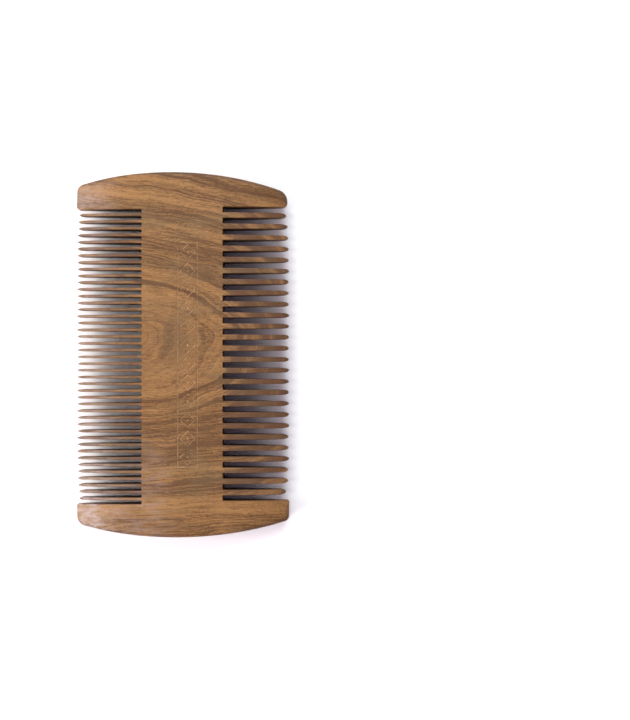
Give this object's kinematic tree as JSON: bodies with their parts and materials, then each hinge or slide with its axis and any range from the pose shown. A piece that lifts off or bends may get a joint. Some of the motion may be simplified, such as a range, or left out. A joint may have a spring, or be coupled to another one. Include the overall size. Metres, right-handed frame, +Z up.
{
  "type": "double-sided beard comb",
  "caption": "Double-sided wooden beard comb: fine teeth on one edge, coarse teeth on the other, a flat spine between them and a curved guard at each end.",
  "frame": {"origin": "on the underside, at the middle of the comb's outline, where it rests on a table", "axes": "+Y along the spine towards the more strongly curved guard, +Z up through the thickness, -X towards the tips of the fine teeth and +X towards the tips of the coarse teeth"},
  "size_m": [0.0584, 0.1, 0.01],
  "materials": {
    "board_wood": "fine-sanded brown hardwood with a wax sheen, darker growth bands and fine open pores, grain along the teeth"
  },
  "bodies": {
    "root": {"spine": "board_wood", "upper_guard": "board_wood", "lower_guard": "board_wood", "fine_teeth": "board_wood", "coarse_teeth": "board_wood"}
  },
  "joints": []
}
